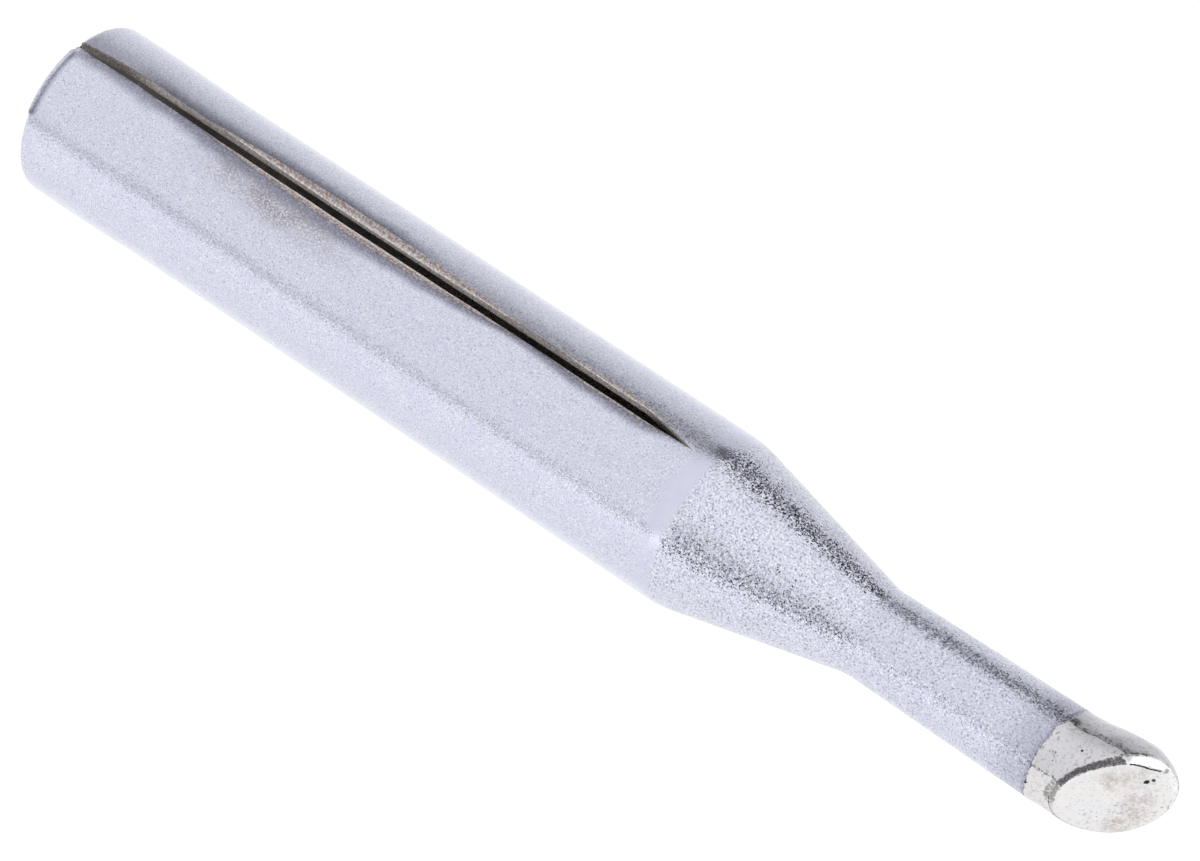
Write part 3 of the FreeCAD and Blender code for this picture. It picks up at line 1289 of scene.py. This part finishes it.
    def tarnish_and_painted_reflection(self, point: Vector, inside: float) -> float:
        """Dark marks: a film in the tin line and in a crack, a line along the seam, and painted dark reflection on the
        left part of the face's rim and on the glossy side beside the seam and the rim.

        Args:
            point: Place on the nose.
            inside: Distance inside the face's rim.

        Returns:
            The share of the film.
        """
        azimuth = azimuth_of(point)
        line = within(0.03 - self.line.past(point), 0.06)
        ends = min((azimuth - 182.0) * MM_PER_DEGREE, (246.0 - azimuth) * 0.016)
        # Rim band on the left of the face: painted dark reflection of the rounded rim.
        band = within(min(inside + 0.02, self.rim_at(azimuth)[1] - inside, ends), 0.10)
        if inside >= 0.0:
            return max(line, band)
        away = abs(azimuth - self.crack_azimuth - 2.0 * lumps(point, 0.2, 3.0)) * 0.026
        crack = min(within(0.045 - away, 0.11), within(self.crack_end - point.z, 0.15))
        edge = self.gloss_edge(azimuth, point)
        seam = within(0.035 - abs(edge + 1.2) * MM_PER_DEGREE, 0.05)
        # Painted dark reflection on the glossy side near the rim, and the dark streak beside the seam.
        painted_dark_reflection = plateau(azimuth, 150.0, 158.0, 181.0, 186.0) * ease(inside, -0.34, -0.06)
        return max(line, band, 0.80 * crack, 0.68 * seam, 0.50 * painted_dark_reflection, 0.46 * hump(edge, -5.0, 7.0))

    def black(self, point: Vector, inside: float) -> float:
        """Blackest marks: the pits, the edge under the bright facet and the thin line of the lower rim.

        Args:
            point: Place on the nose.
            inside: Distance inside the face's rim.

        Returns:
            The share of the marks.
        """
        azimuth = azimuth_of(point)
        under = abs(inside - self.rim_at(azimuth)[1] - 0.015)
        edge = within(min(0.030 - under, stretch(azimuth, *self.facet)), 0.04)
        lower = within(min(0.008 - abs(inside), stretch(azimuth, *self.lower_rim)), 0.02)
        pits = max(within(pit.radius - pit.away(point), 0.04) for pit in self.pits)
        return max(edge, lower, pits, within(0.004 - self.line.past(point), 0.03))

    def glossy(self, point: Vector, inside: float) -> float:
        """Bright flow of solder on the side that looks away from the face, and on the rim above it.

        Args:
            point: Place on the nose.
            inside: Distance inside the face's rim.

        Returns:
            The share of the flow.
        """
        azimuth = azimuth_of(point)
        ends = min(-self.gloss_edge(azimuth, point), azimuth - self.gloss_start) * MM_PER_DEGREE
        rim = min(self.rim_at(azimuth)[1] - inside, inside + 0.05)
        return max(within(min(ends, 0.02 - inside), 0.05), within(min(stretch(azimuth, *self.facet), rim), 0.04))

    def dull(self, point: Vector, inside: float) -> float:
        """Share of the dull grey solder on the side below the rim, and on the rim's lower left.

        Args:
            point: Place on the nose.
            inside: Distance inside the face's rim.

        Returns:
            The share.
        """
        azimuth = azimuth_of(point)
        if inside < 0.0:
            return ease(azimuth, 244.0, 238.0)
        _, width = self.rim_at(azimuth)
        return ease(inside, width + 0.03, width - 0.03) * plateau(azimuth, 236.0, 246.0, 275.0, 295.0)

    def mottled(self, point: Vector, inside: float) -> float:
        """Share of the grey specks.

        Args:
            point: Place on the nose.
            inside: Distance inside the face's rim.

        Returns:
            The share.
        """
        azimuth = azimuth_of(point)
        _, width = self.rim_at(azimuth)
        low = plateau(azimuth, 238.0, 248.0, 265.0, 285.0)
        low *= plateau(inside, -0.20, -0.14, width - 0.04, width + 0.04)
        spot = hump(azimuth, 143.0, 6.0) * hump(inside, 0.08, 0.16)
        plain = 0.14 if inside < 0.0 else 0.03 + 0.11 * ease(point.x + point.z, 38.6, 39.6)
        return max(plain, 0.60 * low, 0.9 * spot)

    def flux(self, point: Vector, inside: float) -> float:
        """Brown flux stains on the upper part of the face.

        Args:
            point: Place on the nose.
            inside: Distance inside the face's rim.

        Returns:
            The share of the stains.
        """
        if inside < 0.02:
            return 0.04
        along = (point.y + point.z - self.ball_height) / math.sqrt(2.0)
        stains = [hump(math.hypot(point.x - x, along - v), 0.0, self.stain_half) for x, v in self.stains]
        return 0.06 + 0.74 * max(stains)

    def build(self) -> bpy.types.Object:
        """Build and dress the nose.

        Returns:
            The piece, handed over to the frame.
        """
        piece = self.skin().build("tinned_nose", [SolderFinish().material()], self.crease)
        inside = [item.value for item in piece.data.attributes["inside"].data]
        paint(piece, (self.tarnish_and_painted_reflection, self.black, self.glossy, self.dull, self.mottled, self.flux), inside)
        hand_over(piece)
        return piece


# Stage


@dataclass(frozen=True)
class TentRing:
    """Light of the tent round the compass at one height, as pairs of azimuth and brightness."""

    low: float
    high: float
    lights: tuple[tuple[float, float], ...]


@dataclass(frozen=True)
class TentWindow:
    """Bright or dark window in the tent: a lamp, or the shade round the camera."""

    azimuth: float
    half_width: float
    elevation: float
    half_height: float
    light: float


FLOOR_RING = TentRing(-91.0, -90.0, (
    (0.0, 1.0), (56.0, 0.97), (72.0, 0.88), (88.0, 0.80), (104.0, 0.70), (118.0, 0.56), (128.0, 0.47),
    (138.0, 0.43), (150.0, 0.66), (162.0, 0.82), (176.0, 0.87), (216.0, 0.87), (240.0, 0.87), (254.0, 0.86),
    (260.0, 0.80), (263.5, 0.56), (266.5, 0.56), (268.5, 0.93), (285.0, 0.97), (335.0, 0.93), (360.0, 0.95)))
LOW_RING = TentRing(-22.0, -16.0, (
    (0.0, 0.95), (56.0, 0.93), (72.0, 0.86), (88.0, 0.79), (104.0, 0.68), (119.0, 0.63), (126.0, 0.14),
    (138.0, 0.14), (145.0, 0.62), (162.0, 0.86), (176.0, 0.88), (216.0, 0.88), (245.0, 0.90), (258.0, 0.93),
    (266.0, 1.20), (272.0, 1.20), (280.0, 0.97), (335.0, 0.92), (360.0, 0.95)))
LEVEL_RING = TentRing(-9.0, -2.0, (
    (0.0, 0.95), (56.0, 0.95), (72.0, 0.87), (88.0, 0.82), (104.0, 0.76), (117.0, 0.73), (122.5, 0.02),
    (135.0, 0.02), (140.0, 0.86), (158.0, 0.92), (176.0, 0.98), (216.0, 0.97), (232.0, 0.88), (248.0, 0.65),
    (256.0, 0.50), (261.0, 0.03), (268.0, 0.03), (270.5, 0.97), (285.0, 0.98), (330.0, 0.96), (360.0, 0.94)))
TOP_RING = TentRing(12.0, 22.0, ((0.0, 1.0), (360.0, 1.0)))


@dataclass(frozen=True)
class Studio:
    """Plain pale floor, a soft light tent all round and the camera."""

    floor_size: float = 6000.0
    floor_gap: float = 0.02
    white: float = 1.10
    shade_radius: float = 2.62
    shade_edge: float = 0.04
    shade: float = 0.06
    rings: tuple[TentRing, ...] = (FLOOR_RING, LOW_RING, LEVEL_RING, TOP_RING)
    windows: tuple[TentWindow, ...] = (
        TentWindow(232.0, 30.0, 33.0, 10.5, 0.05),
        TentWindow(180.0, 400.0, 92.0, 29.0, 2.3))
    camera_place: Point = (-98.02, -70.96, 70.48)
    camera_right: Point = (-0.06708, 0.63377, 0.77061)
    camera_up: Point = (-0.66249, 0.54923, -0.50937)
    lens: float = 135.13
    sensor: float = 36.0

    def floor(self) -> bpy.types.Object:
        """Lay the floor just under the bit's rear ring.

        Returns:
            The floor.
        """
        half = self.floor_size / 2 * METRES
        corners = [(-half, -half), (half, -half), (half, half), (-half, half)]
        mesh = bpy.data.meshes.new("floor")
        mesh.from_pydata([(x, y, -self.floor_gap * METRES) for x, y in corners], [], [(0, 1, 2, 3)])
        material, graph = new_material("pale_floor")
        from_axis = graph.add("VectorMath", {0: graph.place}, operation="LENGTH").outputs["Value"]
        # Inside the bore's ring the floor is dark: painted shadow.
        light = graph.spread(from_axis, self.shade_radius, self.shade_radius + self.shade_edge, self.shade, self.white)
        glow = graph.add("Emission", {"Color": opaque(WHITE), "Strength": light})
        graph.add("OutputMaterial", {"Surface": glow.outputs[0]})
        mesh.materials.append(material)
        floor = bpy.data.objects.new("floor", mesh)
        floor.visible_glossy = False
        floor.visible_diffuse = False
        floor.visible_shadow = False
        bpy.context.scene.collection.objects.link(floor)
        return floor

    def tent(self) -> None:
        """Light the bit from all round, with a soft gradient over the compass."""
        world = bpy.data.worlds.new("light_tent")
        world.use_nodes = True
        graph = Graph(world.node_tree)
        parts = graph.add("SeparateXYZ", {0: graph.add("TexCoord").outputs["Generated"]})
        angle = graph.maths("ARCTAN2", parts.outputs[1], parts.outputs[0])
        turn = graph.maths("FRACT", graph.maths("ADD", graph.maths("DIVIDE", angle, 2.0 * math.pi), 1.0))
        azimuth = graph.maths("MULTIPLY", turn, FULL_TURN)
        elevation = graph.maths("DEGREES", graph.maths("ARCSINE", parts.outputs[2]))
        light: Socket | float = 1.0
        for ring in self.rings:
            share = graph.spread(elevation, ring.low, ring.high)
            light = graph.add("Mix", {0: share, 2: light, 3: self.ring_light(graph, turn, ring)}).outputs[0]
        for window in self.windows:
            share = self.window_share(graph, azimuth, elevation, window)
            light = graph.add("Mix", {0: share, 2: light, 3: window.light}).outputs[0]
        glow = graph.add("Background", {"Color": opaque(WHITE), "Strength": light})
        graph.add("OutputWorld", {"Surface": glow.outputs[0]})
        bpy.context.scene.world = world

    def ring_light(self, graph: Graph, turn: Socket, ring: TentRing) -> Socket:
        """Brightness of a ring.

        Args:
            graph: Graph to add to.
            turn: Direction round the compass, from 0 to 1.
            ring: The ring.

        Returns:
            Its brightness in that direction.
        """
        brightest = max(light for _, light in ring.lights)
        curve = graph.add("FloatCurve", {"Value": turn, "Factor": 1.0})
        points = curve.mapping.curves[0].points
        points[0].location = (0.0, ring.lights[0][1] / brightest)
        points[1].location = (1.0, ring.lights[-1][1] / brightest)
        for azimuth, light in ring.lights[1:-1]:
            points.new(azimuth / FULL_TURN, light / brightest)
        curve.mapping.update()
        return graph.maths("MULTIPLY", curve.outputs[0], brightest)

    def window_share(self, graph: Graph, azimuth: Socket, elevation: Socket, window: TentWindow) -> Socket:
        """Share of a window in a direction, with soft edges.

        Args:
            graph: Graph to add to.
            azimuth: Direction round the compass, in degrees.
            elevation: Height of the direction, in degrees.
            window: The window.

        Returns:
            The share.
        """
        across = graph.maths("ABSOLUTE", graph.maths("SUBTRACT", azimuth, window.azimuth))
        up = graph.maths("ABSOLUTE", graph.maths("SUBTRACT", elevation, window.elevation))
        wide = graph.spread(across, window.half_width, 0.8 * window.half_width)
        return graph.maths("MULTIPLY", wide, graph.spread(up, window.half_height, 0.7 * window.half_height))

    def camera(self) -> bpy.types.Object:
        """Set up the camera.

        Returns:
            The camera.
        """
        data = bpy.data.cameras.new("camera")
        data.lens = self.lens
        data.sensor_width = self.sensor
        data.clip_start = 0.001
        data.clip_end = 50.0
        right, up = Vector(self.camera_right), Vector(self.camera_up)
        turn = Matrix((right, up, right.cross(up))).transposed().to_4x4()
        camera = bpy.data.objects.new("camera", data)
        camera.matrix_world = Matrix.Translation(Vector(self.camera_place) * METRES) @ turn
        bpy.context.scene.collection.objects.link(camera)
        bpy.context.scene.camera = camera
        return camera

    def build(self) -> None:
        """Set the stage."""
        self.floor()
        self.tent()
        self.camera()
        bpy.context.scene.view_settings.view_transform = "Standard"
        log.info("studio: floor, light tent and camera")


def main() -> None:
    """Build the bit and its studio."""
    logging.basicConfig(level=logging.INFO, format="%(name)s: %(message)s")
    Studio().build()
    for maker in (PlatedBody(), TinnedNose()):
        piece = maker.build()
        log.info("built %s", piece.name)


if __name__ == "__main__":
    main()
